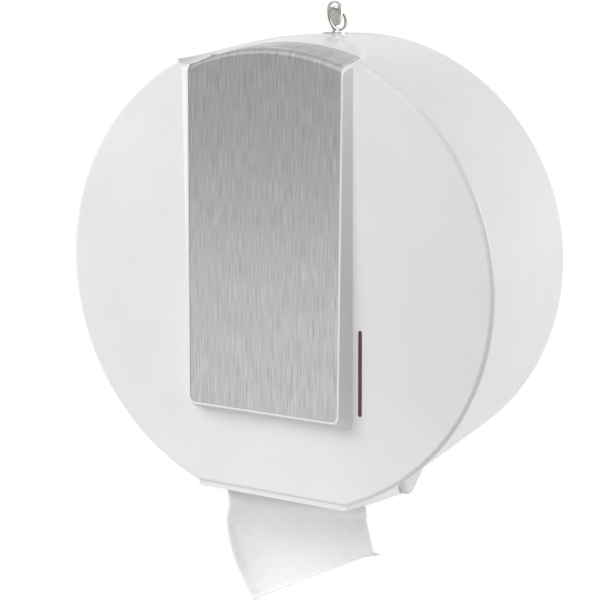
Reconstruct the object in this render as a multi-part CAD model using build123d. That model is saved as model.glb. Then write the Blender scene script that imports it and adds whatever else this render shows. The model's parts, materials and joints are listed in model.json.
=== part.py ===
from build123d import *
import math
import os

# Jumbo toilet roll dispenser, millimetres.
# The wall is the plane Y = 0, the front faces -Y and +Z is up.
# The roll turns about the Y axis, so the origin is where that axis meets the wall.

# Front cover: a drum with a flat chord at the bottom
drum_radius = 165.0
cover_wall = 2.6
rim_fillet = 3.0
roll_room = 42.4
front_room = 16.8

# Raised panel on the front face; it leans forward towards its lower end
panel_half_width = 60.0
panel_side_flare = 5.7
panel_bottom = 92.0
panel_bottom_flare = 4.6
panel_lift_top = 2.4
panel_lift_bottom = 10.0
panel_corner = 6.0

# Top of the panel: a knee, then a shoulder that runs back in an arched recess until it meets the drum
knee_below_rim = 7.7
knee_radius = 5.5
shoulder_depth = 66.0
arch_wider_than_panel = 11.5
arch_fillet = 10.0

# Brushed inlay, let into the panel and bent back over its knee
inlay_thickness = 0.8
inlay_sunk = 0.3
inlay_border = 1.5
inlay_reach = 31.0
inlay_corner = 4.5
inlay_play = 0.15

# Level window, behind an upright slot beside the panel
slot_width = 3.0
slot_length = 60.0
slot_gap_to_panel = 5.5
slot_centre_drop = 57.4
window_plate = 2.0
window_margin = 4.5
window_end_margin = 10.5
window_stake_from_slot = 6.5
window_corner = 3.0
window_sunk = 1.0
window_play = 0.15

# Outlet: skirt walls that run down to the hinge, and a lip in front
skirt_half_width = 60.0
lip_setback = 2.0
lip_height = 3.8
skirt_height_back = 21.1

# Hinge at the bottom
hinge_y = -37.5
hinge_below_chord = 11.3
knuckle_radius = 11.0
knuckle_edge = 2.5
seam_gap = 0.8
pin_radius = 2.5
pin_head_radius = 4.0
pin_head = 1.5
pin_head_gap = 0.3
running_clearance = 0.05
arm_thickness = 3.6
arm_radius = 7.0
arm_root_length = 14.0
arm_root_gap = 8.0
hinge_side_gap = 0.4
cheek_inward = 6.0
cheek_outward = 5.0
cheek_relief = 1.0
cheek_skin = 2.0
cheek_back_below_chord = 1.3
gusset_height = 14.0

# Tear bars: toothed strips on the skirt walls
bar_thickness = 0.8
bar_height = 9.0
bar_end_gap = 0.4
tooth_pitch = 2.6
tooth_depth = 1.7
tooth_reach = 1.5
stake_radius = 1.5
stake_head_radius = 2.7
stake_head = 1.2
stake_clearance = 0.1
stake_inset = 7.0
stakes_per_bar = 3

# Back plate
plate_gap = 8.4
plate_thickness = 3.0
plate_rim_height = 12.0
plate_rim_wall = 2.5
plate_foot_above_chord = 23.7
plate_rim_foot_above_chord = 61.7
rib_height = 10.0
rib_thickness = 2.2
rib_count = 8
screw_hole_radius = 2.75
screw_spacing_x = 160.0
screw_spacing_z = 120.0
screw_pad_radius = 9.0
screw_pad_height = 5.0
screw_pad_wall = 3.0

# Axle and hub of the roll
axle_boss_radius = 26.0
axle_boss_height = 16.0
axle_radius = 9.0
axle_flange_radius = 24.0
axle_flange = 4.0
axle_screw_circle = 17.0
axle_screws = 3
hub_radius = 28.8
hub_wall = 2.5
hub_bearing_wall = 3.0
hub_flange_radius = 42.0
hub_flange = 3.0
hub_shorter_than_roll = 12.0
hub_webs = 6
hub_web_thickness = 2.0
hub_web_setback = 3.0
end_play = 0.3
cap_radius = 15.0
cap_thickness = 3.0

# Roll of tissue
core_play = 0.3
core_wall = 1.8
roll_width = 96.0
roll_edge = 1.0
roll_gap_to_flange = 0.3

# Lock in the top of the drum
lock_y = -36.0
lock_flange_radius = 9.5
lock_flange = 1.2
lock_edge = 0.6
lock_seat_sunk = 0.3
lock_seat_play = 0.2
lock_hole_play = 0.1
barrel_radius = 8.0
barrel_length = 21.7
plug_radius = 5.5
plug_sunk = 0.5
keyway_width = 3.4
keyway_thickness = 2.3
keyway_depth = 18.0
nut_flats = 22.0
nut_height = 4.0
nut_drop = 0.5
cam_thickness = 2.2
cam_width = 10.0
cam_length = 22.0
cam_square = 6.0
cam_play = 0.1
cam_square_short = 0.2
cam_screw_radius = 1.6
cam_screw_reach = 5.0
cam_screw_head = 2.4
cam_screw_head_radius = 4.5

# Keeper on the back plate
keeper_thickness = 2.0
keeper_left = 12.0
keeper_right = 28.0
keeper_reach_gap = 3.0
keeper_drop_gap = 2.0
keeper_lip = 13.0
keeper_foot = 18.0
keeper_boss_margin = 3.0
keeper_screw_from_top = 11.0
keeper_screw_spacing = 8.0

# Key and its ring
key_turn = -15.0
key_thickness = 2.0
key_blade_width = 3.0
key_blade_depth = 16.0
key_collar = 1.2
key_collar_rise = 3.2
key_cut = 0.9
key_cuts = 4
key_cut_pitch = 3.0
bow_width = 11.0
bow_height = 15.5
bow_rise = 4.6
bow_hole_radius = 1.3
bow_hole_from_top = 2.2
ring_radius = 8.2
ring_wire = 0.8
ring_lean = 17.0

# Small screws
screw_radius = 2.0
screw_head_radius = 3.8
screw_head = 2.4
screw_head_edge = 0.8
screw_head_play = 0.1
screw_length = 10.0

# Tissue tail: its left and right edge where it passes the outlet, bends and ends.
# Each place is given as X, depth behind the cover's face and drop below its lip, then the row's bow.
tail_thickness = 1.0
tail_gap = 0.4
tail_side_gap = 0.5
tail_rows = [
    ((-41.0, 11.0, 4.5), (44.0, 64.0, 12.5), 3.0),
    ((-46.0, 14.0, 32.5), (50.0, 62.0, 31.5), 5.0),
    ((-19.0, 14.0, 84.5), (58.0, 64.0, 52.5), 2.0),
]

# Places along the axle, from the wall to the front
axle_flange_front = -axle_boss_height - axle_flange
hub_back = axle_flange_front - end_play
hub_front = hub_back - (roll_width - hub_shorter_than_roll)
axle_end = hub_front - end_play
roll_back = hub_back - hub_flange - roll_gap_to_flange
roll_front = roll_back - roll_width
face_y = roll_front - front_room - cover_wall

# Other sizes that follow from the ones above
roll_radius = drum_radius - cover_wall - roll_room
core_radius_inside = hub_radius + core_play
core_radius = core_radius_inside + core_wall
chord_drop = math.sqrt(drum_radius**2 - skirt_half_width**2)
plate_radius = drum_radius - cover_wall - plate_gap
plate_foot_drop = chord_drop - plate_foot_above_chord
panel_base_half_width = panel_half_width + panel_side_flare
arch_radius = panel_half_width + arch_wider_than_panel
panel_base_bottom = panel_bottom + panel_bottom_flare
knee_y = face_y - panel_lift_top
knee_height = drum_radius - knee_below_rim
shoulder_slope = knee_below_rim / (shoulder_depth + panel_lift_top)
inlay_back = face_y + inlay_reach
slot_x = panel_base_half_width + slot_gap_to_panel
lip_y = face_y + lip_setback
lip_drop = chord_drop + lip_height
hinge_z = -chord_drop - hinge_below_chord
seam_radius = knuckle_radius + seam_gap
seam_y = hinge_y - seam_radius
skirt_drop_back = chord_drop + skirt_height_back
skirt_low_y = hinge_y - math.sqrt(seam_radius**2 - (hinge_z + skirt_drop_back) ** 2)
skirt_slope = (skirt_drop_back - lip_drop) / (skirt_low_y - lip_y)
skirt_inside = skirt_half_width - cover_wall
cheek_inner_face = skirt_half_width - cheek_inward
cheek_outer_face = skirt_half_width + cheek_outward
arm_outer_face = cheek_inner_face - hinge_side_gap
arm_inner_face = arm_outer_face - arm_thickness
arm_root_back = seam_y - arm_root_gap
arm_root_front = arm_root_back - arm_root_length
barrel_top = drum_radius - lock_seat_sunk
barrel_bottom = barrel_top - barrel_length
cam_top = barrel_bottom - cam_play
cam_bottom = cam_top - cam_thickness
plug_top = barrel_top + lock_flange - plug_sunk
keeper_leg_top = cam_bottom - keeper_drop_gap
keeper_foot_low = keeper_leg_top - keeper_foot
key_collar_low = plug_top + key_collar_rise
bow_bottom = plug_top + bow_rise
bow_hole_z = bow_bottom + bow_height - bow_hole_from_top


def from_front(sketch, near, far):
    """A sketch drawn in X and Z, extruded from Y = near to Y = far."""
    return extrude(Plane.XZ.offset(-near) * sketch, amount=near - far)


def from_side(sketch, left, right):
    """A sketch drawn in Y and Z, extruded from X = left to X = right."""
    return extrude(Plane.YZ.offset(left) * sketch, amount=right - left)


def from_top(sketch, low, high):
    """A sketch drawn in X and Y, extruded from Z = low to Z = high."""
    return extrude(Plane.XY.offset(low) * sketch, amount=high - low)


def outline(*points):
    return make_face(Polyline(*points, close=True))


def span(low, high, bottom, top):
    """A rectangle given by its sides."""
    return Pos((low + high) / 2, (bottom + top) / 2) * Rectangle(high - low, top - bottom)


def rod(radius, near, far, x=0.0, z=0.0):
    """A cylinder along Y."""
    return from_front(Pos(x, z) * Circle(radius), near, far)


def post(radius, low, high, x=0.0, y=0.0):
    """A cylinder along Z."""
    return from_top(Pos(x, y) * Circle(radius), low, high)


def mirrored(solid):
    """The same piece on the left-hand side."""
    return mirror(solid, about=Plane.YZ)


def panel_front_y(z):
    """Y of the panel's leaning front at height z."""
    lean = (panel_lift_bottom - panel_lift_top) / (knee_height + panel_bottom)
    return knee_y - (knee_height - z) * lean


def panel_wedge(inset):
    """The leaning panel with its flared sides, drawn in by an inset and still without its top."""
    base_y = face_y + inset
    base_half = panel_base_half_width - inset
    front_half = panel_half_width - inset
    front_bottom = -panel_bottom + inset
    top = drum_radius + panel_lift_bottom
    base = Plane.XZ.offset(-base_y) * span(-base_half, base_half, -panel_base_bottom + inset, top)
    front = Face(Wire.make_polygon([
        (-front_half, panel_front_y(front_bottom) + inset, front_bottom),
        (front_half, panel_front_y(front_bottom) + inset, front_bottom),
        (front_half, panel_front_y(top) + inset, top),
        (-front_half, panel_front_y(top) + inset, top),
    ]))
    wedge = loft([base.face(), front], ruled=True)
    lower_corners = [
        edge for edge in wedge.edges()
        if edge.center().Z < front_bottom + 1 and abs(edge.center().X) > front_half
        and abs(edge.center().Y - base_y) > 0.5
    ]
    return fillet(lower_corners, panel_corner - inset / 2)


def crown(inset):
    """Cone round the roll's axis: the knee lies on it, and it runs back as the shoulder."""
    reach = arch_radius + panel_lift_bottom
    drop = inset * math.hypot(1, shoulder_slope)
    radii = [
        knee_height + (y - knee_y) * shoulder_slope - drop
        for y in (face_y - reach, face_y + reach)
    ]
    seam_below = Plane((0, face_y - reach, 0), x_dir=(0, 0, -1), z_dir=(0, 1, 0))
    return seam_below * Cone(*radii, 2 * reach, align=(Align.CENTER, Align.CENTER, Align.MIN))


def arched_recess(inset):
    """What the shoulder takes away from the drum: an arch in plan, with a hollow fillet at its foot."""
    seam_in_front = Plane((0, face_y, drum_radius / 2), x_dir=(0, -1, 0), z_dir=(0, 0, 1))
    column = seam_in_front * Cylinder(
        arch_radius + inset, drum_radius, align=(Align.CENTER, Align.CENTER, Align.MIN)
    )
    above = column - crown(inset)
    foot = above.edges().filter_by(GeomType.LINE, reverse=True).sort_by(Axis.Z)[0]
    return fillet(foot, arch_fillet + inset)


def round_knee(form, inset):
    """Rounds the edge where the panel's front meets the crown."""
    knee = [
        edge for edge in form.edges()
        if abs(edge.center().X) < 1 and edge.bounding_box().size.X > panel_half_width
        and edge.center().Z > knee_height / 2 and edge.center().Y < face_y + inset - 1
    ]
    return fillet(knee, knee_radius - inset)


def cover_form(inset, back, rim):
    """The drum with its flat chord, the panel and the shoulder, drawn in by an inset."""
    radius = drum_radius - inset
    section = Circle(radius) - span(-radius, radius, -2 * radius, -chord_drop + inset)
    drum = from_front(section, back, face_y + inset)
    if rim > 0:
        drum = fillet(drum.edges().group_by(Axis.Y)[0], rim)
    return round_knee(drum + panel_wedge(inset) - arched_recess(inset), inset)


def panel_form(inset):
    """The panel's front, knee and shoulder alone, on which the inlay lies."""
    shoulder = from_top(
        span(-panel_half_width, panel_half_width, face_y, inlay_back + inlay_corner),
        knee_height / 2, drum_radius + panel_lift_bottom,
    )
    return round_knee((panel_wedge(inset) + shoulder) & crown(inset), inset)


def inlay_zone(play):
    """Upright region of the inlay, with its rounded lower and rear corners."""
    half = panel_half_width - inlay_border + play
    bottom = -panel_bottom + inlay_border - play
    zone = from_top(span(-half, half, 2 * face_y, inlay_back + play), bottom, drum_radius + 20)
    lower = zone.edges().filter_by(Axis.Y).group_by(Axis.Z)[0]
    rear = zone.edges().filter_by(Axis.Z).group_by(Axis.Y)[-1]
    return fillet(lower + rear, inlay_corner)


def make_panel_inlay():
    skin = panel_form(inlay_sunk) - panel_form(inlay_sunk + inlay_thickness)
    return skin & inlay_zone(0)


def skirt_edge_z(y):
    """Height of the skirt's lower edge at depth y."""
    return -lip_drop - skirt_slope * (y - lip_y)


def skirt_wall():
    """Right-hand wall of the outlet, with its lower edge sloping down to the hinge."""
    root = -chord_drop + cover_wall
    wall = from_side(
        outline(
            (lip_y, root), (lip_y, -lip_drop), (skirt_low_y, -skirt_drop_back),
            (hinge_y, -skirt_drop_back), (hinge_y, root),
        ),
        skirt_inside, skirt_half_width,
    )
    behind_seam = from_side(
        span(seam_y, 0, hinge_z, 0) + Pos(hinge_y, hinge_z) * Circle(seam_radius),
        skirt_inside - 1, skirt_half_width + 1,
    )
    return wall - behind_seam


def hinge_arm():
    """Right-hand arm that reaches back from the skirt to the hinge pin."""
    root_side = span(arm_root_front, arm_root_back, hinge_z - arm_radius / 2, -chord_drop + cover_wall / 2)
    eye = Pos(hinge_y, hinge_z) * Circle(arm_radius)
    plate = from_side(make_hull((eye + root_side).edges()), arm_inner_face, arm_outer_face)
    root = from_side(root_side, arm_inner_face, skirt_inside + cover_wall / 2)
    bore = from_side(
        Pos(hinge_y, hinge_z) * Circle(pin_radius + running_clearance),
        arm_inner_face - 1, arm_outer_face + 1,
    )
    return plate + root - bore


def on_bar(along, up):
    """A place on the tear bar: along the skirt's edge from the lip, and up from that edge."""
    angle = -math.atan(skirt_slope)
    y = lip_y + along * math.cos(angle) - up * math.sin(angle)
    z = skirt_edge_z(lip_y) + along * math.sin(angle) + up * math.cos(angle)
    return y, z


def bar_ends():
    """How far from the lip the tear bar starts and ends."""
    start = cover_wall + bar_end_gap
    end = (arm_root_front - lip_y) * math.hypot(1, skirt_slope) - bar_end_gap - tooth_depth
    return start, end


def stake_places():
    start, end = bar_ends()
    first = start + stake_inset
    last = end - stake_inset
    step = (last - first) / (stakes_per_bar - 1)
    return [on_bar(first + step * index, bar_height * 0.6) for index in range(stakes_per_bar)]


def bar_stakes():
    """Heat-formed plastic stakes that hold the tear bar to the skirt."""
    solids = []
    for y, z in stake_places():
        shank = from_side(Pos(y, z) * Circle(stake_radius), skirt_inside - bar_thickness, skirt_inside + 1)
        head = from_side(
            Pos(y, z) * Circle(stake_head_radius),
            skirt_inside - bar_thickness - stake_head, skirt_inside - bar_thickness,
        )
        solids.append(shank + head)
    return solids


def make_tear_bar():
    """Right-hand toothed strip against the inside of the skirt."""
    start, end = bar_ends()
    teeth = int((end - start) / tooth_pitch)
    points = [on_bar(start, bar_height), on_bar(start, tooth_depth - tooth_reach)]
    for index in range(teeth):
        left = start + index * tooth_pitch
        points.append(on_bar(left + tooth_pitch / 2, -tooth_reach))
        points.append(on_bar(left + tooth_pitch, tooth_depth - tooth_reach))
    points.append(on_bar(start + teeth * tooth_pitch, bar_height))
    strip = from_side(outline(*points), skirt_inside - bar_thickness, skirt_inside)
    for y, z in stake_places():
        strip -= from_side(
            Pos(y, z) * Circle(stake_radius + stake_clearance), skirt_inside - 5, skirt_inside + 1
        )
    return strip


def slot_sketch(play):
    slot = SlotOverall(slot_length + 2 * play, slot_width + 2 * play)
    return Pos(slot_x, -slot_centre_drop) * Rot(0, 0, 90) * slot


def window_stake_heights():
    offset = slot_length / 2 + window_stake_from_slot
    return [-slot_centre_drop - offset, -slot_centre_drop + offset]


def window_stakes():
    """Two stakes on the inside of the face that hold the level window."""
    inner_face = face_y + cover_wall
    solids = []
    for z in window_stake_heights():
        shank = rod(stake_radius, inner_face + window_plate, inner_face - 1, slot_x, z)
        head = rod(
            stake_head_radius, inner_face + window_plate + stake_head, inner_face + window_plate, slot_x, z
        )
        solids.append(shank + head)
    return solids


def make_level_window():
    inner_face = face_y + cover_wall
    length = slot_length + 2 * window_end_margin
    width = slot_width + 2 * window_margin
    plate = from_front(
        Pos(slot_x, -slot_centre_drop) * RectangleRounded(width, length, window_corner),
        inner_face + window_plate, inner_face,
    )
    window = plate + from_front(slot_sketch(-window_play), inner_face, face_y + window_sunk)
    hole_radius = stake_radius + stake_clearance
    for z in window_stake_heights():
        window -= rod(hole_radius, inner_face + 2 * window_plate, inner_face - 1, slot_x, z)
    return window


def make_front_cover():
    cover = cover_form(0, 0, rim_fillet) - cover_form(cover_wall, 1, 0)

    # Inlay recess and window slot
    cover -= inlay_zone(inlay_play) - panel_form(inlay_sunk + inlay_thickness)
    cover -= from_front(slot_sketch(0), face_y + 2 * cover_wall, face_y - 1)

    # Outlet between the skirt walls, wider behind the seam where the cheeks stand
    low = -drum_radius - 1
    high = -chord_drop + cover_wall + 1
    cover -= from_front(span(-skirt_inside, skirt_inside, low, high), seam_y, lip_y + cover_wall)
    cheek_room = cheek_outer_face + cheek_relief
    cover -= from_front(span(-cheek_room, cheek_room, low, -drum_radius / 2), 1, seam_y)

    # Lip, skirt walls, hinge arms and stakes
    cover += from_front(
        span(-skirt_half_width, skirt_half_width, -lip_drop, -chord_drop + 1), lip_y + cover_wall, lip_y
    )
    for part in [skirt_wall(), hinge_arm(), *bar_stakes()]:
        cover += part
        cover += mirrored(part)
    for part in window_stakes():
        cover += part

    # Lock: flat seat and hole
    cover -= post(lock_flange_radius + lock_seat_play, barrel_top, drum_radius + 1, 0, lock_y)
    cover -= post(barrel_radius + lock_hole_play, barrel_bottom, drum_radius + 1, 0, lock_y)
    return cover


def hinge_cheek():
    """Right-hand cheek: a rounded knuckle in front, drawn back to the plate as a gusset."""
    knuckle = Pos(hinge_y, hinge_z) * Circle(knuckle_radius)
    nose = span(hinge_y - knuckle_radius, hinge_y, hinge_z, -chord_drop + knuckle_radius)
    root = span(
        -plate_thickness, 0, -chord_drop - cheek_back_below_chord, -plate_foot_drop + gusset_height
    )
    side = make_hull((knuckle + nose + root).edges())
    cheek = from_side(side, cheek_inner_face, cheek_outer_face)
    outer_edges = cheek.faces().sort_by(Axis.X)[-1].edges().filter_by(
        lambda edge: edge.center().Z < hinge_z + 1 and edge.center().Y < hinge_y
    )
    cheek = fillet(outer_edges, knuckle_edge)
    bore = from_side(
        Pos(hinge_y, hinge_z) * Circle(pin_radius), cheek_inner_face - 1, cheek_outer_face - cheek_skin
    )
    return cheek - bore


def keeper_screw_places():
    z = keeper_leg_top - keeper_screw_from_top
    middle = (keeper_left + keeper_right) / 2
    return [(middle + side * keeper_screw_spacing / 2, z) for side in (-1, 1)]


def wall_screw_places():
    return [
        (side * screw_spacing_x / 2, level * screw_spacing_z / 2)
        for side in (-1, 1) for level in (-1, 1)
    ]


def make_back_plate():
    radius = plate_radius
    disc = Circle(radius) - span(-radius, radius, -2 * radius, -plate_foot_drop)
    plate = from_front(disc, 0, -plate_thickness)

    # Rim, open towards the outlet
    ring = Circle(radius) - Circle(radius - plate_rim_wall)
    rim = ring - span(-radius, radius, -radius, -chord_drop + plate_rim_foot_above_chord)
    plate += from_front(rim, 0, -plate_rim_height)

    # Boss of the axle and the ribs that run out from it
    plate += rod(axle_boss_radius, 0, -axle_boss_height)
    for index in range(rib_count):
        rib = span(axle_boss_radius - 2, radius - 1, -rib_thickness / 2, rib_thickness / 2)
        rib = Rot(0, 360 / rib_count * (index + 0.5), 0) * from_front(rib, 0, -rib_height)
        plate += rib & from_front(disc, 0, -rib_height)

    # Pads with the holes of the wall screws
    for x, z in wall_screw_places():
        plate += rod(screw_pad_radius, 0, -screw_pad_height, x, z)
    for x, z in wall_screw_places():
        plate -= rod(screw_pad_radius - screw_pad_wall, -screw_pad_height, -rib_height - 1, x, z)
        plate -= rod(screw_hole_radius, 1, -rib_height - 1, x, z)

    # Boss that carries the keeper
    plate += from_front(
        span(keeper_left - keeper_boss_margin, keeper_right + keeper_boss_margin,
             keeper_foot_low - keeper_boss_margin, keeper_leg_top - keeper_thickness),
        0, -plate_rim_height,
    )
    for x, z in keeper_screw_places():
        plate -= rod(screw_radius, -plate_rim_height + screw_length, -plate_rim_height - 1, x, z)
    axle_screw_end = axle_flange_front + screw_head + screw_length
    for x, z in axle_screw_places():
        plate -= rod(screw_radius, axle_screw_end, -axle_boss_height - 1, x, z)

    cheek = hinge_cheek()
    return plate + cheek + mirrored(cheek)


def make_hinge_pin():
    """Right-hand pin: pressed into the cheek, with its head inside the arm."""
    axis = Pos(hinge_y, hinge_z)
    head_face = arm_inner_face - pin_head_gap
    pin = from_side(axis * Circle(pin_radius), head_face - pin_head, cheek_outer_face - cheek_skin)
    head = from_side(axis * Circle(pin_head_radius), head_face - pin_head, head_face)
    return pin + head


def axle_screw_places():
    step = 2 * math.pi / axle_screws
    return [
        (axle_screw_circle * math.sin(step * index), axle_screw_circle * math.cos(step * index))
        for index in range(axle_screws)
    ]


def make_roll_axle():
    axle = rod(axle_flange_radius, -axle_boss_height, axle_flange_front)
    axle += rod(axle_radius, -axle_boss_height, axle_end)
    for x, z in axle_screw_places():
        axle -= rod(screw_radius, 0, axle_flange_front - 1, x, z)
        sink = axle_flange_front + screw_head
        axle -= rod(screw_head_radius + screw_head_play, sink, axle_flange_front - 1, x, z)
    axle -= rod(screw_radius, axle_end + screw_length, axle_end - 1)
    return axle


def screw(seat, end):
    """A pan-head screw along Y whose head sits on the seat and whose shank reaches to the end."""
    head = rod(screw_head_radius, seat, seat - screw_head)
    head = fillet(head.edges().group_by(Axis.Y)[0], screw_head_edge)
    return head + rod(screw_radius, end, seat)


def make_axle_screws():
    seat = axle_flange_front + screw_head
    return Compound(children=[
        Pos(x, 0, z) * screw(seat, seat + screw_length) for x, z in axle_screw_places()
    ])


def make_hub_retainer():
    cap = rod(cap_radius, axle_end, axle_end - cap_thickness)
    cap = fillet(cap.edges().group_by(Axis.Y)[0], cap_thickness / 3)
    return cap - rod(screw_radius, axle_end + 1, axle_end - cap_thickness - 1)


def make_retainer_screw():
    return screw(axle_end - cap_thickness, axle_end + screw_length)


def make_roll_hub():
    """Spool with a bearing tube, an outer sleeve, webs between them and a flange at the back."""
    sleeve = rod(hub_radius, hub_back, hub_front) - rod(hub_radius - hub_wall, hub_back + 1, hub_front - 1)
    hub = sleeve + rod(axle_radius + hub_bearing_wall, hub_back, hub_front)
    for index in range(hub_webs):
        web = span(axle_radius + 1, hub_radius - 1, -hub_web_thickness / 2, hub_web_thickness / 2)
        web = from_front(web, hub_back, hub_front + hub_web_setback)
        hub += Rot(0, 360 / hub_webs * index, 0) * web
    hub += rod(hub_flange_radius, hub_back, hub_back - hub_flange)
    return hub - rod(axle_radius + running_clearance, hub_back + 1, hub_front - 1)


def make_roll_core():
    return rod(core_radius, roll_back, roll_front) - rod(core_radius_inside, roll_back + 1, roll_front - 1)


def make_paper_roll():
    roll = rod(roll_radius, roll_back, roll_front) - rod(core_radius, roll_back + 1, roll_front - 1)
    circles = roll.edges().filter_by(GeomType.CIRCLE)
    return fillet(circles.sort_by(SortBy.RADIUS)[-2:], roll_edge)


def tail_section(left, right, downward, bow):
    """A thin strip across the tissue, bowed a little out of its plane."""
    left = Vector(*left)
    right = Vector(*right)
    normal = (right - left).cross(Vector(*downward)).normalized()
    middle = (left + right) * 0.5 + normal * bow
    shift = normal * tail_thickness
    return Face(Wire([
        ThreePointArc(left, middle, right).edge(),
        Line(right, right + shift).edge(),
        ThreePointArc(right + shift, middle + shift, left + shift).edge(),
        Line(left + shift, left).edge(),
    ]))


def leaving_angle(x, z):
    """Angle from the lowest line of the roll, to the left, where tissue leaves towards a point."""
    return math.acos((roll_radius + tail_gap) / math.hypot(x, z)) + math.atan2(-x, -z)


def on_roll(angle, y):
    reach = roll_radius + tail_gap
    return (-reach * math.sin(angle), y, -reach * math.cos(angle))


def below_lip(x, behind_face, below):
    return (x, face_y + behind_face, -lip_drop - below)


def make_paper_tail():
    """Tissue from the roll's lower left, through the outlet, twisted towards the front."""
    rows = [(below_lip(*left), below_lip(*right), bow) for left, right, bow in tail_rows]
    left, right, bow = rows[0]
    left_angle = leaving_angle(left[0], left[2])
    right_angle = leaving_angle(right[0], right[2])
    middle = (left_angle + right_angle) / 2
    sagitta = (roll_radius + tail_gap) * (1 - math.cos((left_angle - right_angle) / 2))
    sections = [tail_section(
        on_roll(left_angle, roll_front + tail_side_gap), on_roll(right_angle, roll_back - tail_side_gap),
        (math.cos(middle), 0, -math.sin(middle)), sagitta + tail_gap,
    )]
    for left, right, bow in rows:
        sections.append(tail_section(left, right, (0, 0, -1), bow))
    return loft(sections, ruled=True)


def make_lock_body():
    body = post(lock_flange_radius, barrel_top, barrel_top + lock_flange, 0, lock_y)
    body = fillet(body.edges().group_by(Axis.Z)[-1], lock_edge)
    body += post(barrel_radius, barrel_bottom, barrel_top, 0, lock_y)
    bore_top = barrel_top + lock_flange + 1
    return body - post(plug_radius + running_clearance, barrel_bottom - 1, bore_top, 0, lock_y)


def make_lock_nut():
    top = drum_radius - cover_wall - nut_drop
    hexagon = RegularPolygon(nut_flats / 2, 6, major_radius=False)
    nut = from_top(Pos(0, lock_y) * hexagon, top - nut_height, top)
    return nut - post(barrel_radius, top - nut_height - 1, top + 1, 0, lock_y)


def turned_key(sketch):
    """A plan sketch placed at the lock and turned with the key."""
    return Pos(0, lock_y) * Rot(0, 0, key_turn) * sketch


def make_lock_plug():
    plug = post(plug_radius, barrel_bottom, plug_top, 0, lock_y)
    square = Pos(0, lock_y) * Rectangle(cam_square, cam_square)
    plug += from_top(square, cam_bottom + cam_square_short, barrel_bottom)
    keyway = turned_key(Rectangle(keyway_width, keyway_thickness))
    plug -= from_top(keyway, plug_top - keyway_depth, plug_top + 1)
    return plug - post(cam_screw_radius, cam_bottom - 1, cam_bottom + cam_screw_reach, 0, lock_y)


def make_lock_cam():
    """Flat cam; it points to the wall while the lock is open."""
    arm = span(-cam_width / 2, cam_width / 2, lock_y, lock_y + cam_length - cam_width / 2)
    tip = Pos(0, lock_y + cam_length - cam_width / 2) * Circle(cam_width / 2)
    eye = Pos(0, lock_y) * Circle(barrel_radius)
    hole = Pos(0, lock_y) * Rectangle(cam_square, cam_square)
    return from_top(arm + tip + eye - hole, cam_bottom, cam_top)


def make_cam_screw():
    head = post(cam_screw_head_radius, cam_bottom - cam_screw_head, cam_bottom, 0, lock_y)
    head = fillet(head.edges().group_by(Axis.Z)[0], screw_head_edge)
    return head + post(cam_screw_radius, cam_bottom, cam_bottom + cam_screw_reach, 0, lock_y)


def make_latch_keeper():
    """Bent steel keeper: foot on the back plate, leg under the cam, lip in front of it."""
    foot_back = -plate_rim_height
    foot_front = foot_back - keeper_thickness
    lip_back = lock_y - cam_width / 2 - keeper_reach_gap
    lip_front = lip_back - keeper_thickness
    leg_low = keeper_leg_top - keeper_thickness
    lip_top = leg_low + keeper_lip
    side = outline(
        (foot_back, keeper_foot_low), (foot_back, keeper_leg_top), (lip_back, keeper_leg_top),
        (lip_back, lip_top), (lip_front, lip_top), (lip_front, leg_low),
        (foot_front, leg_low), (foot_front, keeper_foot_low),
    )
    keeper = from_side(side, keeper_left, keeper_right)
    for x, z in keeper_screw_places():
        keeper -= rod(screw_radius, foot_back + 1, foot_front - 1, x, z)
    return keeper


def make_keeper_screws():
    seat = -plate_rim_height - keeper_thickness
    return Compound(children=[
        Pos(x, 0, z) * screw(seat, seat + screw_length) for x, z in keeper_screw_places()
    ])


def key_plane():
    """Plane of the key's flat: local X across the bow, local Y up."""
    angle = math.radians(key_turn)
    return Plane(
        origin=(0, lock_y, 0),
        x_dir=(math.cos(angle), math.sin(angle), 0),
        z_dir=(math.sin(angle), -math.cos(angle), 0),
    )


def make_key():
    """Flat key: a blade with cuts along one edge, a collar and an oval bow with a hole."""
    half = key_blade_width / 2
    wide = half + key_collar
    low = plug_top - key_blade_depth
    blade = outline(
        (-half, low + 1), (-half + 1, low), (half, low), (half, bow_bottom), (-half, bow_bottom)
    )
    collar = span(-wide, wide, key_collar_low, bow_bottom + key_collar)
    bow = Pos(0, bow_bottom + bow_height / 2) * Ellipse(bow_width / 2, bow_height / 2)
    sketch = blade + collar + bow - Pos(0, bow_hole_z) * Circle(bow_hole_radius)
    for index in range(key_cuts):
        height = low + key_cut_pitch * (index + 1)
        sketch -= Pos(half, height) * Rot(0, 0, 45) * Rectangle(key_cut, key_cut)
    return extrude(key_plane() * sketch, amount=key_thickness / 2, both=True)


def make_key_ring():
    """Split ring through the bow's hole, leaning so that it rests just over the lock's face."""
    plane = key_plane()
    lean = math.radians(ring_lean)
    centre = plane.from_local_coords(
        (ring_radius * math.sin(lean), bow_hole_z - ring_radius * math.cos(lean), 0)
    )
    across = plane.z_dir
    down = (centre - plane.from_local_coords((0, bow_hole_z, 0))).normalized()
    ring_plane = Plane(origin=centre, x_dir=down, z_dir=across.cross(down))
    return ring_plane * Torus(ring_radius, ring_wire)


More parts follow.
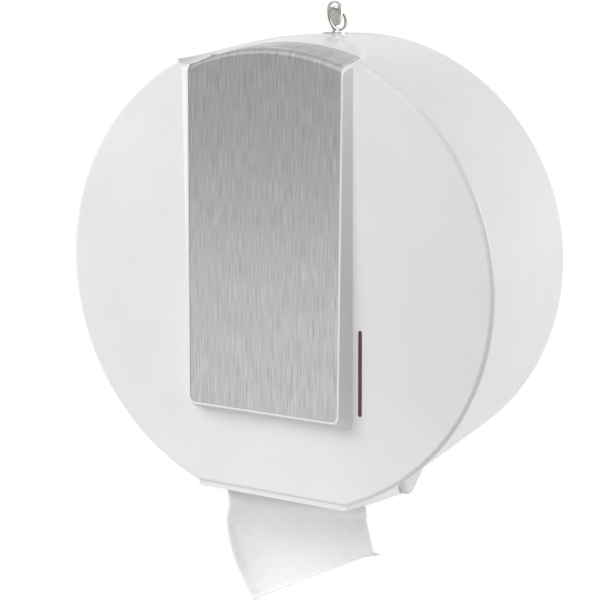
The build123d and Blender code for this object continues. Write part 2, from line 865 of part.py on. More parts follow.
pieces = {
    "front_cover": make_front_cover(),
    "panel_inlay": make_panel_inlay(),
    "level_window": make_level_window(),
    "tear_bar_right": make_tear_bar(),
    "tear_bar_left": mirrored(make_tear_bar()),
    "back_plate": make_back_plate(),
    "hinge_pins": Compound(children=[make_hinge_pin(), mirrored(make_hinge_pin())]),
    "roll_axle": make_roll_axle(),
    "axle_screws": make_axle_screws(),
    "hub_retainer": make_hub_retainer(),
    "retainer_screw": make_retainer_screw(),
    "roll_hub": make_roll_hub(),
    "roll_core": make_roll_core(),
    "paper_roll": make_paper_roll(),
    "paper_tail": make_paper_tail(),
    "lock_body": make_lock_body(),
    "lock_nut": make_lock_nut(),
    "lock_plug": make_lock_plug(),
    "lock_cam": make_lock_cam(),
    "cam_screw": make_cam_screw(),
    "latch_keeper": make_latch_keeper(),
    "keeper_screws": make_keeper_screws(),
    "key": make_key(),
    "key_ring": make_key_ring(),
}

os.makedirs("parts", exist_ok=True)
for name, shape in pieces.items():
    export_step(shape, f"parts/{name}.step")
    print(name, len(shape.solids()), "solids", round(shape.volume), "mm3")
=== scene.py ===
import json
import math
import random

import bmesh
import bpy
from mathutils import Matrix, Vector, noise


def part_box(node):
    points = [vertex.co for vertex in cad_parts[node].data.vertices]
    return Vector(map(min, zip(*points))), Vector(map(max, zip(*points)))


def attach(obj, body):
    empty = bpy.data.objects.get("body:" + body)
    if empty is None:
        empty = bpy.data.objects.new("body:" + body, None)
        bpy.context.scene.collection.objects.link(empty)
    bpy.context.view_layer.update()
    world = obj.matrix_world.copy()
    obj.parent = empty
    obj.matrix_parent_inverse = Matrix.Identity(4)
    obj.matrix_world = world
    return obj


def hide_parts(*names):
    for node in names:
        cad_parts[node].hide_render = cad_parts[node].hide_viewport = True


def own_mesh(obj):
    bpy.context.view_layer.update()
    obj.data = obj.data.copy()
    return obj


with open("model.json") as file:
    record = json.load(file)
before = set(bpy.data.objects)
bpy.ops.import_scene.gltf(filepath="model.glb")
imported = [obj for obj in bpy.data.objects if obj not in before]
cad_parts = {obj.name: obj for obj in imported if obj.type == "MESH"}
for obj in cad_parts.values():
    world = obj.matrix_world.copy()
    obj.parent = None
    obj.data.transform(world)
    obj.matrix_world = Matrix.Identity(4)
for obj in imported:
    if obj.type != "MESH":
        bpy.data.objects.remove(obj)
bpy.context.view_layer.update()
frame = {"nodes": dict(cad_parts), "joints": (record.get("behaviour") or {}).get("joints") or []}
nodes = frame["nodes"]
mm = 0.001
print("frame loaded:", len(nodes), "nodes")


def linear(hexColour):
    # sRGB hex to the linear values that a shader takes
    channels = [int(hexColour[i:i + 2], 16) / 255 for i in (0, 2, 4)]
    return [c / 12.92 if c <= 0.04045 else ((c + 0.055) / 1.055) ** 2.4 for c in channels] + [1.0]


def perMm(size):
    # scale of a pattern whose cells measure this many millimetres
    return 1 / (size * mm)


def newMaterial(name):
    material = bpy.data.materials.new(name)
    material.use_nodes = True
    material.node_tree.nodes.clear()
    return material


def addNode(material, kind, settings=None, inputs=None, links=None):
    # a node with its own settings, its sockets' values and what its sockets are linked to
    node = material.node_tree.nodes.new(kind)
    for name, value in (settings or {}).items():
        setattr(node, name, value)
    for socket, value in (inputs or {}).items():
        node.inputs[socket].default_value = value
    for socket, output in (links or {}).items():
        material.node_tree.links.new(output, node.inputs[socket])
    return node


noiseRange = (0.3, 0.7)  # a noise texture seldom leaves it


def colourRange(ramp, *hexColours):
    # spreads the colours evenly over what a noise texture gives
    lowest, highest = noiseRange
    elements = ramp.color_ramp.elements
    while len(elements) < len(hexColours):
        elements.new(0.5)
    for index, hexColour in enumerate(hexColours):
        elements[index].position = lowest + (highest - lowest) * index / (len(hexColours) - 1)
        elements[index].color = linear(hexColour)


def addMesh(name, mesh, material):
    data = bpy.data.meshes.new(name)
    mesh.to_mesh(data)
    mesh.free()
    data.materials.append(material)
    added = bpy.data.objects.new(name, data)
    bpy.context.scene.collection.objects.link(added)
    return added


def newPiece(name, mesh, material, body, smooth=True):
    piece = addMesh(name, mesh, material)
    for face in piece.data.polygons:
        face.use_smooth = smooth
    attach(piece, body)
    return piece


def standOn(x, y, z, centre):
    # the matrix that lays the axes on three directions and the origin on the centre
    return Matrix.Translation(centre) @ Matrix((x, y, z)).transposed().to_4x4()


# in each finish, a pattern's size is in millimetres and the shine is a range of roughness


def mouldedWhiteAbs():
    # polished injection-moulded ABS: bright and glossy, with faint clouds and a hint of orange peel
    finish = {"colours": ("E9E6E6", "EEEBEB"), "cloud": 70, "handled": 18, "peel": 2.5, "shine": (0.2, 0.3)}
    material = newMaterial("moulded white ABS")
    place = addNode(material, "ShaderNodeTexCoord").outputs["Object"]
    cloud = addNode(material, "ShaderNodeTexNoise", inputs={"Scale": perMm(finish["cloud"]), "Detail": 2},
                    links={"Vector": place})
    colour = addNode(material, "ShaderNodeValToRGB", links={"Fac": cloud.outputs["Fac"]})
    colourRange(colour, *finish["colours"])
    handled = addNode(material, "ShaderNodeTexNoise",
                      inputs={"Scale": perMm(finish["handled"]), "Detail": 5}, links={"Vector": place})
    shine = addNode(material, "ShaderNodeMapRange",
                    inputs={"To Min": finish["shine"][0], "To Max": finish["shine"][1]},
                    links={"Value": handled.outputs["Fac"]})
    peel = addNode(material, "ShaderNodeTexNoise", inputs={"Scale": perMm(finish["peel"]), "Detail": 1},
                   links={"Vector": place})
    bump = addNode(material, "ShaderNodeBump", inputs={"Strength": 0.04, "Distance": 0.05 * mm},
                   links={"Height": peel.outputs["Fac"]})
    shader = addNode(material, "ShaderNodeBsdfPrincipled", inputs={"IOR": 1.52},
                     links={"Base Color": colour.outputs["Color"], "Roughness": shine.outputs["Result"],
                            "Normal": bump.outputs["Normal"]})
    addNode(material, "ShaderNodeOutputMaterial", links={"Surface": shader.outputs["BSDF"]})
    return material


def mouldedMattePlastic(name, darker, lighter, roughness):
    # moulded against a spark-eroded tool: even colour, soft shine and a fine grain
    # the real grain is about 0.1 mm and would not show, so it is drawn coarser
    # polished and scuffed spots lie that much below and above the given roughness
    finish = {"cloud": 40, "grain": 0.8, "wear": 9, "polished": 0.06, "scuffed": 0.08}
    material = newMaterial(name)
    place = addNode(material, "ShaderNodeTexCoord").outputs["Object"]
    cloud = addNode(material, "ShaderNodeTexNoise", inputs={"Scale": perMm(finish["cloud"]), "Detail": 3},
                    links={"Vector": place})
    colour = addNode(material, "ShaderNodeValToRGB", links={"Fac": cloud.outputs["Fac"]})
    colourRange(colour, darker, lighter)
    grain = addNode(material, "ShaderNodeTexVoronoi", inputs={"Scale": perMm(finish["grain"])},
                    links={"Vector": place})
    bump = addNode(material, "ShaderNodeBump", inputs={"Strength": 0.15, "Distance": 0.08 * mm},
                   links={"Height": grain.outputs["Distance"]})
    wear = addNode(material, "ShaderNodeTexNoise", inputs={"Scale": perMm(finish["wear"]), "Detail": 4},
                   links={"Vector": place})
    shine = addNode(material, "ShaderNodeMapRange",
                    inputs={"To Min": roughness - finish["polished"],
                            "To Max": roughness + finish["scuffed"]},
                    links={"Value": wear.outputs["Fac"]})
    shader = addNode(material, "ShaderNodeBsdfPrincipled", inputs={"IOR": 1.5},
                     links={"Base Color": colour.outputs["Color"], "Roughness": shine.outputs["Result"],
                            "Normal": bump.outputs["Normal"]})
    addNode(material, "ShaderNodeOutputMaterial", links={"Surface": shader.outputs["BSDF"]})
    return material


def brushedStainless(name, tones, streak):
    # brushed stainless sheet: streaks of the given size along X, Y and Z that draw highlights out sideways
    # the real brushing is about 0.1 mm wide, so it is drawn as coarse as it needs to show
    finish = {"bandsPerStreak": 3.5, "bandShare": 0.1, "shine": (0.3, 0.38)}
    material = newMaterial(name)
    place = addNode(material, "ShaderNodeTexCoord").outputs["Object"]
    fineScale = [perMm(size) for size in streak]
    broadScale = [perMm(size * finish["bandsPerStreak"]) for size in streak]
    fine = addNode(material, "ShaderNodeMapping", inputs={"Scale": fineScale}, links={"Vector": place})
    broad = addNode(material, "ShaderNodeMapping", inputs={"Scale": broadScale}, links={"Vector": place})
    streaks = addNode(material, "ShaderNodeTexNoise", inputs={"Scale": 1, "Detail": 1, "Roughness": 0.5},
                      links={"Vector": fine.outputs["Vector"]})
    bands = addNode(material, "ShaderNodeTexNoise", inputs={"Scale": 1, "Detail": 2},
                    links={"Vector": broad.outputs["Vector"]})
    faint = addNode(material, "ShaderNodeMath", {"operation": "MULTIPLY"}, {1: finish["bandShare"]},
                    {0: bands.outputs["Fac"]})
    both = addNode(material, "ShaderNodeMath", {"operation": "MULTIPLY_ADD"}, {1: 1 - finish["bandShare"]},
                   {0: streaks.outputs["Fac"], 2: faint.outputs["Value"]})
    colour = addNode(material, "ShaderNodeValToRGB", links={"Fac": both.outputs["Value"]})
    colourRange(colour, *tones)
    shine = addNode(material, "ShaderNodeMapRange",
                    inputs={"To Min": finish["shine"][0], "To Max": finish["shine"][1]},
                    links={"Value": both.outputs["Value"]})
    bump = addNode(material, "ShaderNodeBump", inputs={"Strength": 0.1, "Distance": 0.02 * mm},
                   links={"Height": streaks.outputs["Fac"]})
    along = addNode(material, "ShaderNodeTangent", {"direction_type": "RADIAL", "axis": "Z"})
    shader = addNode(material, "ShaderNodeBsdfPrincipled", inputs={"Metallic": 1.0, "Anisotropic": 0.6},
                     links={"Base Color": colour.outputs["Color"], "Roughness": shine.outputs["Result"],
                            "Normal": bump.outputs["Normal"], "Tangent": along.outputs["Tangent"]})
    addNode(material, "ShaderNodeOutputMaterial", links={"Surface": shader.outputs["BSDF"]})
    return material


def platedMetal(name, tones, roughness, scratch):
    # plated metal: a soft cloudy tone, and hairline scratches drawn wide enough to show
    # polished and scuffed spots have that share of the given roughness
    finish = {"cloud": 6, "polished": 0.7, "scuffed": 1.4}
    material = newMaterial(name)
    place = addNode(material, "ShaderNodeTexCoord").outputs["Object"]
    cloud = addNode(material, "ShaderNodeTexNoise", inputs={"Scale": perMm(finish["cloud"]), "Detail": 4},
                    links={"Vector": place})
    colour = addNode(material, "ShaderNodeValToRGB", links={"Fac": cloud.outputs["Fac"]})
    colourRange(colour, *tones)
    scratches = addNode(material, "ShaderNodeTexNoise",
                        inputs={"Scale": perMm(scratch), "Detail": 6, "Distortion": 2},
                        links={"Vector": place})
    shine = addNode(material, "ShaderNodeMapRange",
                    inputs={"To Min": roughness * finish["polished"],
                            "To Max": roughness * finish["scuffed"]},
                    links={"Value": scratches.outputs["Fac"]})
    bump = addNode(material, "ShaderNodeBump", inputs={"Strength": 0.12, "Distance": 0.03 * mm},
                   links={"Height": scratches.outputs["Fac"]})
    shader = addNode(material, "ShaderNodeBsdfPrincipled", inputs={"Metallic": 1.0},
                     links={"Base Color": colour.outputs["Color"], "Roughness": shine.outputs["Result"],
                            "Normal": bump.outputs["Normal"]})
    addNode(material, "ShaderNodeOutputMaterial", links={"Surface": shader.outputs["BSDF"]})
    return material


def smokedAcrylic():
    # extruded acrylic, smoked red-brown: dark and smooth, and see-through in strong light
    finish = {"colours": ("6A4240", "754C49"), "depth": 12, "dust": 1.5, "shine": (0.06, 0.2)}
    material = newMaterial("smoked acrylic")
    place = addNode(material, "ShaderNodeTexCoord").outputs["Object"]
    depth = addNode(material, "ShaderNodeTexNoise", inputs={"Scale": perMm(finish["depth"]), "Detail": 2},
                    links={"Vector": place})
    colour = addNode(material, "ShaderNodeValToRGB", links={"Fac": depth.outputs["Fac"]})
    colourRange(colour, *finish["colours"])
    dust = addNode(material, "ShaderNodeTexNoise", inputs={"Scale": perMm(finish["dust"]), "Detail": 6},
                   links={"Vector": place})
    shine = addNode(material, "ShaderNodeMapRange",
                    inputs={"To Min": finish["shine"][0], "To Max": finish["shine"][1]},
                    links={"Value": dust.outputs["Fac"]})
    shader = addNode(material, "ShaderNodeBsdfPrincipled", inputs={"IOR": 1.49, "Transmission Weight": 0.3},
                     links={"Base Color": colour.outputs["Color"], "Roughness": shine.outputs["Result"]})
    addNode(material, "ShaderNodeOutputMaterial", links={"Surface": shader.outputs["BSDF"]})
    return material


def kraftBoard():
    # spirally wound kraft board: brown fibres, and the winding's seams, just under a third of seam apart
    finish = {"colours": ("8E7352", "A98C67", "B89B76"), "fibre": (2, 8, 2), "seam": 180}
    material = newMaterial("wound kraft board")
    place = addNode(material, "ShaderNodeTexCoord").outputs["Object"]
    fibreScale = [perMm(size) for size in finish["fibre"]]
    fibres = addNode(material, "ShaderNodeMapping", inputs={"Scale": fibreScale}, links={"Vector": place})
    pulp = addNode(material, "ShaderNodeTexNoise", inputs={"Scale": 1, "Detail": 6, "Roughness": 0.7},
                   links={"Vector": fibres.outputs["Vector"]})
    colour = addNode(material, "ShaderNodeValToRGB", links={"Fac": pulp.outputs["Fac"]})
    colourRange(colour, *finish["colours"])
    seam = addNode(material, "ShaderNodeTexWave", {"bands_direction": "Y"},
                   {"Scale": perMm(finish["seam"]), "Distortion": 1.5}, {"Vector": place})
    bump = addNode(material, "ShaderNodeBump", inputs={"Strength": 0.3, "Distance": 0.15 * mm},
                   links={"Height": seam.outputs["Fac"]})
    shader = addNode(material, "ShaderNodeBsdfPrincipled", inputs={"Roughness": 0.85},
                     links={"Base Color": colour.outputs["Color"], "Normal": bump.outputs["Normal"]})
    addNode(material, "ShaderNodeOutputMaterial", links={"Surface": shader.outputs["BSDF"]})
    return material


def crepedTissue(name, tones):
    # two-ply tissue: matt and white, with creping lines across the web and soft cloudy crumple
    # real creping is about half as wide as it is drawn, and would not show
    finish = {"creping": (9, 0.9), "pulp": 6}
    material = newMaterial(name)
    place = addNode(material, "ShaderNodeTexCoord").outputs["Object"]
    web = addNode(material, "ShaderNodeUVMap", {"uv_map": "web"}).outputs["UV"]
    crepeScale = [perMm(size) for size in finish["creping"]] + [1]
    crepeLines = addNode(material, "ShaderNodeMapping", inputs={"Scale": crepeScale}, links={"Vector": web})
    crepe = addNode(material, "ShaderNodeTexNoise", inputs={"Scale": 1, "Detail": 3},
                    links={"Vector": crepeLines.outputs["Vector"]})
    pulp = addNode(material, "ShaderNodeTexNoise",
                   inputs={"Scale": perMm(finish["pulp"]), "Detail": 6, "Roughness": 0.6},
                   links={"Vector": place})
    colour = addNode(material, "ShaderNodeValToRGB", links={"Fac": pulp.outputs["Fac"]})
    colourRange(colour, *tones)
    crepeBump = addNode(material, "ShaderNodeBump", inputs={"Strength": 0.35, "Distance": 0.2 * mm},
                        links={"Height": crepe.outputs["Fac"]})
    bump = addNode(material, "ShaderNodeBump", inputs={"Strength": 0.25, "Distance": 0.8 * mm},
                   links={"Height": pulp.outputs["Fac"], "Normal": crepeBump.outputs["Normal"]})
    shader = addNode(material, "ShaderNodeBsdfPrincipled",
                     inputs={"Roughness": 0.95, "Specular IOR Level": 0.2, "Sheen Weight": 0.15},
                     links={"Base Color": colour.outputs["Color"], "Normal": bump.outputs["Normal"]})
    addNode(material, "ShaderNodeOutputMaterial", links={"Surface": shader.outputs["BSDF"]})
    return material


def dress(material, *names):
    for name in names:
        nodes[name].data.materials.clear()
        nodes[name].data.materials.append(material)


whiteAbs = mouldedWhiteAbs()
inlaySteel = brushedStainless("brushed stainless steel", ("B4B4B4", "C6C6C6", "D8D8D8"), (0.55, 18, 18))
stampedSteel = brushedStainless("stamped stainless strip", ("8E8F92", "9A9B9D"), (12, 12, 0.6))
zincPlate = platedMetal("zinc plated steel", ("B9B8B0", "C9C9C6"), 0.35, 1.2)
chromePlate = platedMetal("chrome plated zinc", ("C4C4C6", "D0D0D2"), 0.14, 2)
nickelPlate = platedMetal("nickel plated brass", ("CFCCC6", "E2DFDA"), 0.25, 0.9)
springSteel = platedMetal("nickel plated spring steel", ("9C9994", "BAB7B1"), 0.18, 1.5)
tissue = crepedTissue("creped tissue", ("F0F0F0", "F6F6F5"))

dress(whiteAbs, "front_cover")
dress(inlaySteel, "panel_inlay")
dress(smokedAcrylic(), "level_window")
dress(stampedSteel, "tear_bar_right", "tear_bar_left", "latch_keeper", "lock_cam")
dress(mouldedMattePlastic("matt white ABS base", "DCDDDF", "E4E5E6", 0.45), "back_plate")
dress(mouldedMattePlastic("matt white acetal", "D2D4D6", "DADCDE", 0.4), "roll_axle", "hub_retainer")
dress(mouldedMattePlastic("matt grey polypropylene", "8F969C", "9AA1A7", 0.5), "roll_hub")
dress(zincPlate, "hinge_pins", "axle_screws", "retainer_screw", "cam_screw", "keeper_screws", "lock_nut")
dress(chromePlate, "lock_body", "lock_plug")
dress(kraftBoard(), "roll_core")
print("materials done")


# millimetres: wave is how deep an end's rings sink, edge how far its rim is drawn in, weld what merges
rollForm = {"rings": 40, "around": 128, "wave": 0.35, "edge": 1.2, "weld": 0.01, "seed": 4}


def windWeb(mesh):
    # UV in metres: across the web and along it
    web = mesh.loops.layers.uv.new("web")
    for face in mesh.faces:
        for loop in face.loops:
            place = loop.vert.co
            around = math.atan2(place.x, place.z) * math.hypot(place.x, place.z)
            loop[web].uv = (place.y, around)


def makeWoundRoll():
    low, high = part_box("paper_roll")
    coreLow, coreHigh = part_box("roll_core")
    outer = (high.x - low.x) / 2
    inner = (coreHigh.x - coreLow.x) / 2
    random.seed(rollForm["seed"])
    mesh = bmesh.new()
    profile = []
    rings = rollForm["rings"]
    for end, sign in ((low.y, 1), (high.y, -1)):
        side = []
        for ring in range(rings + 1):
            radius = inner + (outer - inner) * ring / rings
            sink = rollForm["wave"] * mm * random.random()
            if ring == rings:
                sink = rollForm["edge"] * mm
            side.append(Vector((0, end + sign * sink, radius)))
        profile += side if end == low.y else side[::-1]
    points = [mesh.verts.new(point) for point in profile]
    for first, second in zip(points, points[1:] + points[:1]):
        mesh.edges.new((first, second))
    bmesh.ops.spin(mesh, geom=mesh.verts[:] + mesh.edges[:], cent=(0, 0, 0), axis=(0, 1, 0),
                   angle=2 * math.pi, steps=rollForm["around"], use_merge=True)
    bmesh.ops.remove_doubles(mesh, verts=mesh.verts[:], dist=rollForm["weld"] * mm)
    bmesh.ops.recalc_face_normals(mesh, faces=mesh.faces[:])
    windWeb(mesh)
    return newPiece("woundTissueRoll", mesh, tissue, "roll", smooth=False)


woundRoll = makeWoundRoll()
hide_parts("paper_roll")
print("roll done")


tailForm = {
    # from the roll down: left edge, right edge and how far the middle bows, in millimetres
    "rows": [
        ((-102.0, -119.1, -64.0), (-65.0, -24.1, -102.5), 3.6),
        ((-72.0, -124.0, -112.5), (-12.0, -49.0, -133.0), 2.4),
        ((-42.0, -128.0, -161.0), (41.0, -75.0, -171.0), 1.5),
        ((-44.4, -126.0, -188.8), (46.2, -75.5, -189.0), 3.0),
        ((-37.0, -125.0, -217.7), (49.4, -75.0, -203.5), 3.0),
        ((-22.5, -125.0, -244.0), (51.5, -75.0, -212.4), 1.0),
    ],
    # metres across and along the cut sheet, and how finely it is divided
    "flat": (0.096, 0.185),
    "across": 56,
    "along": 96,
    # thickness and depths in millimetres
    "ply": 0.25,
    "crumple": 0.8,
    "edgeCurl": 3.0,
    "hem": 1.2,
    "cornerFlare": 5.0,
    # the crumple's cells in millimetres, and the width, length and level of the noise that they come from
    "crumpleSize": 32.0,
    "crumpleNoise": (96, 190, 3.0),
    # start and length of each change, as shares of the sheet
    "crumpleAlong": (0.3, 0.2),
    "curlAcross": 0.06,
    "curlAlong": (0.55, 0.2),
    "hemAlong": (0.985, 0.015),
    "flareAcross": (0.92, 0.08),
    "flareAlong": (0.97, 0.03),
    "lookAhead": 0.02,
}


def onCurve(points, t):
    # Catmull-Rom curve through the points, t from 0 to 1
    spans = len(points) - 1
    index = min(int(t * spans), spans - 1)
    local = t * spans - index
    before = points[max(index - 1, 0)]
    start = points[index]
    end = points[index + 1]
    after = points[min(index + 2, spans)]
    return 0.5 * (2 * start + (end - before) * local
                  + (2 * before - 5 * start + 4 * end - after) * local ** 2
                  + (3 * start - before - 3 * end + after) * local ** 3)


def rise(value, start, length):
    # 0 up to the start, then evenly to 1 over the length
    return min(1.0, max(0.0, (value - start) / length))


def tailPlace(across, along):
    # across and along run from 0 to 1 over the flat sheet
    lefts, rights, bows = zip(*tailForm["rows"])
    lefts = [Vector(point) for point in lefts]
    left = onCurve(lefts, along)
    right = onCurve([Vector(point) for point in rights], along)
    down = onCurve(lefts, min(along + tailForm["lookAhead"], 1.0)) - left
    if not down.length:
        down = Vector((0, 0, -1))
    outwards = (right - left).cross(down).normalized()
    point = left.lerp(right, across) + outwards * onCurve(bows, along) * (1 - (2 * across - 1) ** 2)
    width, length, level = tailForm["crumpleNoise"]
    soft = noise.noise(Vector((across * width, along * length, level)) / tailForm["crumpleSize"])
    crumple = tailForm["crumple"] * soft * rise(along, *tailForm["crumpleAlong"])
    edge = 1 - rise(across, 0, tailForm["curlAcross"])
    curl = tailForm["edgeCurl"] * edge * rise(along, *tailForm["curlAlong"])
    hem = tailForm["hem"] * rise(along, *tailForm["hemAlong"])
    corner = rise(across, *tailForm["flareAcross"]) * rise(along, *tailForm["flareAlong"])
    point.x += tailForm["cornerFlare"] * corner
    return (point + outwards * (crumple - curl - hem)) * mm


def makeTissueTail():
    mesh = bmesh.new()
    bmesh.ops.create_grid(mesh, x_segments=tailForm["across"], y_segments=tailForm["along"], size=0.5,
                          matrix=Matrix.Translation((0.5, 0.5, 0)), calc_uvs=False)
    web = mesh.loops.layers.uv.new("web")
    flatWidth, flatLength = tailForm["flat"]
    for face in mesh.faces:
        for loop in face.loops:
            loop[web].uv = (loop.vert.co.x * flatWidth, loop.vert.co.y * flatLength)
    for vert in mesh.verts:
        vert.co = tailPlace(vert.co.x, vert.co.y)
    tail = newPiece("tissueTail", mesh, tissue, "wall_side")
    ply = tail.modifiers.new("ply", "SOLIDIFY")
    ply.thickness = tailForm["ply"] * mm
    ply.offset = 0
    return tail


tissueTail = makeTissueTail()
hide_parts("paper_tail")
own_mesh(tissueTail)
print("tissue tail done")


# millimetres, with heights from the point in the bow's hole that the ring swings about
bowForm = {
    "width": 14.0,
    "above": 4.7,
    "below": 13.3,
    "widestBelow": 2.8,
    "thickness": 2.0,
    "hole": (7.6, 4.4),
    "holeRise": 1.2,
    "field": (8.6, 9.8),
    "fieldBelow": 6.6,
    "relief": 0.25,
    "edge": 0.35,
    "neckBelow": 12.3,
    "weld": 0.001,
    # powers that a circle's outline is bent by, to the sides, on top and towards the neck
    "shoulder": 0.75,
    "crown": 0.85,
    "taper": 1.25,
    "segments": 48,
    "edgeSegments": 2,
    "sharpAngle": 57,
}


def ringSwing():
    # the point in the bow's hole that the ring swings about, and the direction out of the bow's face
    swing = next(joint for joint in frame["joints"] if joint["name"] == "ring_swing")
    return Vector(swing["pos_m"]), Vector(swing["axis"]).normalized()


def shapeBow(circle):
    # squares the shoulders of a unit circle and draws it down to the neck
    for vert in circle:
        side = abs(vert.co.x) ** bowForm["shoulder"] * bowForm["width"] / 2
        vert.co.x = math.copysign(side, vert.co.x)
        if vert.co.y > 0:
            vert.co.y = vert.co.y ** bowForm["crown"] * (bowForm["above"] + bowForm["widestBelow"])
        else:
            vert.co.y = -abs(vert.co.y) ** bowForm["taper"] * (bowForm["below"] - bowForm["widestBelow"])
        vert.co.y -= bowForm["widestBelow"]


def addOval(mesh, size, height, filled):
    oval = bmesh.ops.create_circle(mesh, cap_ends=filled, segments=bowForm["segments"], radius=0.5)["verts"]
    bmesh.ops.scale(mesh, verts=oval, vec=(*size, 1))
    bmesh.ops.translate(mesh, verts=oval, vec=(0, height, 0))
    return oval


def thicken(mesh, faces, thickness):
    # gives flat faces a thickness, half to each side
    bmesh.ops.translate(mesh, verts=list({vert for face in faces for vert in face.verts}),
                        vec=(0, 0, -thickness / 2))
    raised = bmesh.ops.extrude_face_region(mesh, geom=faces)["geom"]
    bmesh.ops.translate(mesh, verts=[part for part in raised if isinstance(part, bmesh.types.BMVert)],
                        vec=(0, 0, thickness))


def makeBow():
    # upright in X and Y: the plate with its hole, the raised field below it, and their edges broken
    mesh = bmesh.new()
    rim = bmesh.ops.create_circle(mesh, segments=bowForm["segments"], radius=1)["verts"]
    shapeBow(rim)
    addOval(mesh, bowForm["hole"], bowForm["holeRise"], filled=False)
    plate = bmesh.ops.bridge_loops(mesh, edges=mesh.edges[:])["faces"]
    thicken(mesh, plate, bowForm["thickness"])
    field = addOval(mesh, bowForm["field"], -bowForm["fieldBelow"], filled=True)
    thicken(mesh, list(field[0].link_faces), bowForm["thickness"] + 2 * bowForm["relief"])
    bmesh.ops.recalc_face_normals(mesh, faces=mesh.faces[:])
    sharpAngle = math.radians(bowForm["sharpAngle"])
    sharp = [edge for edge in mesh.edges if edge.is_manifold and edge.calc_face_angle() > sharpAngle]
    bmesh.ops.bevel(mesh, geom=sharp, affect="EDGES", offset=bowForm["edge"],
                    segments=bowForm["edgeSegments"], profile=0.5, material=-1)
    bmesh.ops.scale(mesh, verts=mesh.verts[:], vec=(mm, mm, mm))
    return mesh


def addBlade(mesh, hole, up):
    # a merged copy of the CAD key, cut off at the neck and closed there
    blade = bmesh.new()
    blade.from_mesh(nodes["key"].data)
    bmesh.ops.remove_doubles(blade, verts=blade.verts[:], dist=bowForm["weld"] * mm)
    cut = bmesh.ops.bisect_plane(blade, geom=blade.verts[:] + blade.edges[:] + blade.faces[:],
                                 plane_co=hole - up * bowForm["neckBelow"] * mm, plane_no=up,
                                 clear_outer=True)
    neck = [part for part in cut["geom_cut"] if isinstance(part, bmesh.types.BMEdge)]
    bmesh.ops.holes_fill(blade, edges=neck)
    bladeData = bpy.data.meshes.new("bladeCopy")
    blade.to_mesh(bladeData)
    blade.free()
    mesh.from_mesh(bladeData)
    bpy.data.meshes.remove(bladeData)


def makeKey():
    hole, face = ringSwing()
    up = Vector((0, 0, 1))
    mesh = makeBow()
    bmesh.ops.transform(mesh, matrix=standOn(up.cross(face), up, face, hole), verts=mesh.verts[:])
    addBlade(mesh, hole, up)
    return newPiece("slottedKey", mesh, nickelPlate, "key_in_lock", smooth=False)


slottedKey = makeKey()
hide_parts("key")
print("key done")


# a flat spring wire wound in a helix, in millimetres
ringForm = {"turns": 2, "steps": 72, "halfWidth": 0.78, "halfHeight": 0.42, "pitch": 0.882, "segments": 12}


def makeSplitRing():
    low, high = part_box("key_ring")
    hole, face = ringSwing()
    centre = (low + high) / 2
    spoke = centre - hole
    down = spoke.normalized()
    through = face.cross(down).normalized()
    turns = ringForm["turns"]
    steps = ringForm["steps"] * turns
    height = ringForm["pitch"] * mm * turns
    mesh = bmesh.new()
    bmesh.ops.create_circle(mesh, cap_ends=True, segments=ringForm["segments"], radius=1)
    wireEnd = standOn(Vector((ringForm["halfWidth"] * mm, 0, 0)), Vector((0, 0, ringForm["halfHeight"] * mm)),
                      Vector((0, -1, 0)), Vector((spoke.length, 0, -height / 2)))
    bmesh.ops.transform(mesh, matrix=wireEnd, verts=mesh.verts[:])
    bmesh.ops.spin(mesh, geom=mesh.verts[:] + mesh.edges[:] + mesh.faces[:], cent=(0, 0, 0), axis=(0, 0, 1),
                   dvec=(0, 0, height / steps), angle=2 * math.pi * turns, steps=steps, use_merge=False)
    bmesh.ops.transform(mesh, matrix=standOn(down, face, through, centre), verts=mesh.verts[:])
    bmesh.ops.recalc_face_normals(mesh, faces=mesh.faces[:])
    return newPiece("splitKeyRing", mesh, springSteel, "ring_on_key")


splitRing = makeSplitRing()
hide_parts("key_ring")
print("key ring done")


# height and width of the floor in metres, its tone where light falls on it, and the strength of the sky
stageForm = {"floor": -0.62, "floorWidth": 12.0, "paper": "D8D8D8", "sky": 0.4}
netForm = {"colours": ("CCCCCC", "D4D4D4"), "cloud": 200, "covered": 0.6}
# nets that only reflections and glass see: the steel's face mirrors the left one, its shoulder the top one
nets = {
    "leftNet": {"place": (-1.25, -2.35, 0.83), "aim": (0, 0, 0.83), "width": 4.5, "height": 2.1},
    "topNet": {"place": (-0.7, 0.35, 1.25), "aim": (0, 0, 0), "width": 1.8, "height": 1.8},
}
lamps = {
    "keySoftbox": {"place": (-0.88, -1.1, 0.9), "aim": (0, 0, 0), "size": 1.0, "watts": 21, "spread": 180,
                   "mirrored": False},
    "rimSoftbox": {"place": (1.0, 0.3, 0.28), "aim": (0, 0, 0), "size": 0.6, "watts": 5.5, "spread": 180,
                   "mirrored": True},
    "tailGrid": {"place": (0.55, -1.05, -0.5), "aim": (0.01, -0.1, -0.24), "size": 0.2, "watts": 0.05,
                 "spread": 18, "mirrored": False},
}
# degrees and millimetres: the view is centred aimSide and aimUp away from the aim
cameraForm = {"azimuth": 28.62, "elevation": 12.09, "roll": -0.39, "distance": 1014.43, "lens": 82.7,
              "sensor": 36, "aim": (0, -60, 0), "aimSide": -15.21, "aimUp": -27.62}


def seenRays(material):
    # 1 for what the camera sees straight, in a mirror or through glass, and 0 for light on a surface
    rays = addNode(material, "ShaderNodeLightPath").outputs
    mirrored = addNode(material, "ShaderNodeMath", {"operation": "MAXIMUM"},
                       links={0: rays["Is Camera Ray"], 1: rays["Is Glossy Ray"]})
    seen = addNode(material, "ShaderNodeMath", {"operation": "MAXIMUM"},
                   links={0: mirrored.outputs["Value"], 1: rays["Is Transmission Ray"]})
    return seen.outputs["Value"]


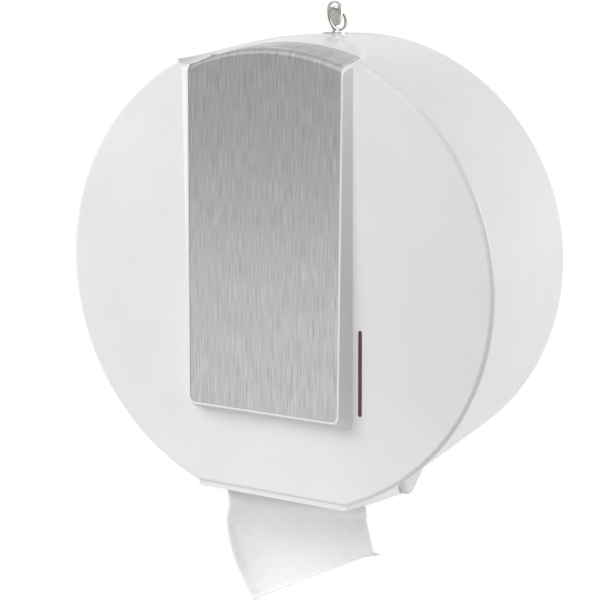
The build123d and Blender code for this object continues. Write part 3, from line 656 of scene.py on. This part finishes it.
def stagePaper():
    # studio floor: white to the camera and in reflections, pale grey as a surface that light falls on
    material = newMaterial("stage paper")
    paper = addNode(material, "ShaderNodeBsdfDiffuse", inputs={"Color": linear(stageForm["paper"])})
    white = addNode(material, "ShaderNodeEmission", inputs={"Strength": 1.0})
    mixed = addNode(material, "ShaderNodeMixShader",
                    links={0: seenRays(material), 1: paper.outputs["BSDF"], 2: white.outputs["Emission"]})
    addNode(material, "ShaderNodeOutputMaterial", links={"Surface": mixed.outputs["Shader"]})
    return material


def greyNet():
    # studio net: grey threads with open gaps between them
    material = newMaterial("grey studio net")
    place = addNode(material, "ShaderNodeTexCoord").outputs["Object"]
    cloud = addNode(material, "ShaderNodeTexNoise", inputs={"Scale": perMm(netForm["cloud"])},
                    links={"Vector": place})
    colour = addNode(material, "ShaderNodeValToRGB", links={"Fac": cloud.outputs["Fac"]})
    colourRange(colour, *netForm["colours"])
    threads = addNode(material, "ShaderNodeBsdfDiffuse", links={"Color": colour.outputs["Color"]})
    gaps = addNode(material, "ShaderNodeBsdfTransparent")
    mixed = addNode(material, "ShaderNodeMixShader", inputs={0: netForm["covered"]},
                    links={1: gaps.outputs["BSDF"], 2: threads.outputs["BSDF"]})
    addNode(material, "ShaderNodeOutputMaterial", links={"Surface": mixed.outputs["Shader"]})
    return material


def stageSheet(name, material, width, height):
    mesh = bmesh.new()
    bmesh.ops.create_grid(mesh, x_segments=1, y_segments=1, size=0.5)
    bmesh.ops.scale(mesh, verts=mesh.verts[:], vec=(width, height, 1))
    sheet = addMesh(name, mesh, material)
    return sheet


def makeFloor():
    floor = stageSheet("studioFloor", stagePaper(), stageForm["floorWidth"], stageForm["floorWidth"])
    floor.location.z = stageForm["floor"]


def makeNets():
    grey = greyNet()
    for name, net in nets.items():
        sheet = stageSheet(name, grey, net["width"], net["height"])
        sheet.location = net["place"]
        away = Vector(net["place"]) - Vector(net["aim"])
        sheet.rotation_euler = away.to_track_quat("Z", "Y").to_euler()
        sheet.visible_camera = False
        sheet.visible_diffuse = False
        sheet.visible_shadow = False


def makeSky():
    world = bpy.data.worlds.new("pale studio")
    bpy.context.scene.world = world
    world.use_nodes = True
    world.node_tree.nodes.clear()
    level = addNode(world, "ShaderNodeMapRange", inputs={"To Min": stageForm["sky"], "To Max": 1.0},
                    links={"Value": seenRays(world)})
    sky = addNode(world, "ShaderNodeBackground", inputs={"Color": (1, 1, 1, 1)},
                  links={"Strength": level.outputs["Result"]})
    addNode(world, "ShaderNodeOutputWorld", links={"Surface": sky.outputs["Background"]})


def makeLamps():
    for name, lamp in lamps.items():
        light = bpy.data.lights.new(name, "AREA")
        light.size = lamp["size"]
        light.energy = lamp["watts"]
        light.spread = math.radians(lamp["spread"])
        holder = bpy.data.objects.new(name, light)
        holder.location = lamp["place"]
        holder.visible_glossy = lamp["mirrored"]
        sight = Vector(lamp["aim"]) - Vector(lamp["place"])
        holder.rotation_euler = sight.to_track_quat("-Z", "Y").to_euler()
        bpy.context.scene.collection.objects.link(holder)


def makeCamera():
    azimuth = math.radians(cameraForm["azimuth"])
    elevation = math.radians(cameraForm["elevation"])
    roll = math.radians(cameraForm["roll"])
    back = Vector((math.sin(azimuth) * math.cos(elevation), -math.cos(azimuth) * math.cos(elevation),
                   math.sin(elevation)))
    right = Vector((math.cos(azimuth), math.sin(azimuth), 0))
    up = back.cross(right)
    aim = Vector(cameraForm["aim"]) + right * cameraForm["aimSide"] + up * cameraForm["aimUp"]
    place = (aim + back * cameraForm["distance"]) * mm
    rolledRight = right * math.cos(roll) + up * math.sin(roll)
    rolledUp = up * math.cos(roll) - right * math.sin(roll)
    data = bpy.data.cameras.new("camera")
    data.lens = cameraForm["lens"]
    data.sensor_width = cameraForm["sensor"]
    camera = bpy.data.objects.new("camera", data)
    camera.matrix_world = standOn(rolledRight, rolledUp, back, place)
    bpy.context.scene.collection.objects.link(camera)
    bpy.context.scene.camera = camera


makeFloor()
makeNets()
makeSky()
makeLamps()
makeCamera()
bpy.context.scene.view_settings.view_transform = "Standard"
print("stage done")
